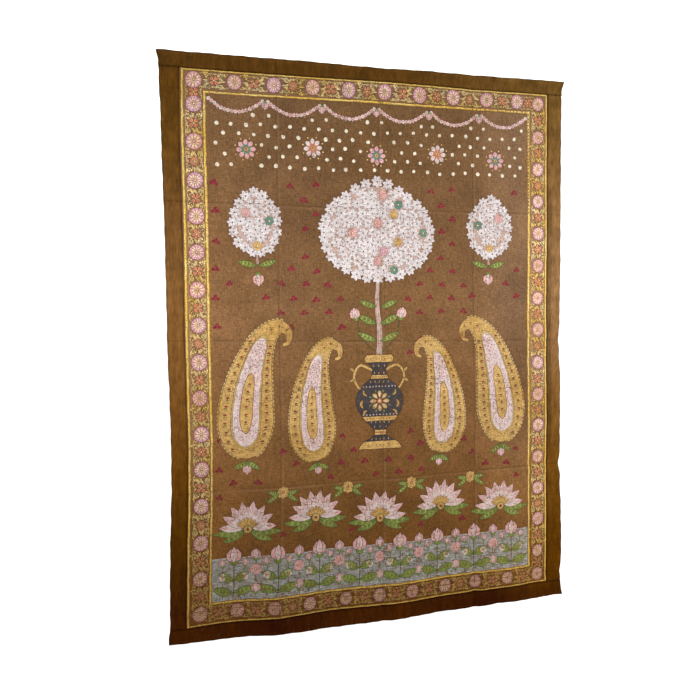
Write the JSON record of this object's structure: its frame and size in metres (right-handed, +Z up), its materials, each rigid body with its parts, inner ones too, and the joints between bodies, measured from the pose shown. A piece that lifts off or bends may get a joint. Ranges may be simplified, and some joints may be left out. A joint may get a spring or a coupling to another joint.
{
  "type": "pichwai painting",
  "caption": "Large painted cotton hanging with a floral border between yellow rules, framed by sewn-on plain brown strips, hung open from its top edge.",
  "frame": {"origin": "middle of the top edge", "axes": "+Z up, the painted front faces -Y, +X is the viewer's right"},
  "size_m": [1.3521, 0.0238, 1.7785],
  "materials": {
    "painted_cotton": "matte painted cotton with a fine plain weave",
    "strip_cloth": "matte brown cloth with a short nap, streaked along its length"
  },
  "bodies": {
    "root": {"painted_panel": "painted_cotton", "border_top": "strip_cloth", "border_bottom": "strip_cloth", "border_left": "strip_cloth", "border_right": "strip_cloth"}
  },
  "joints": []
}
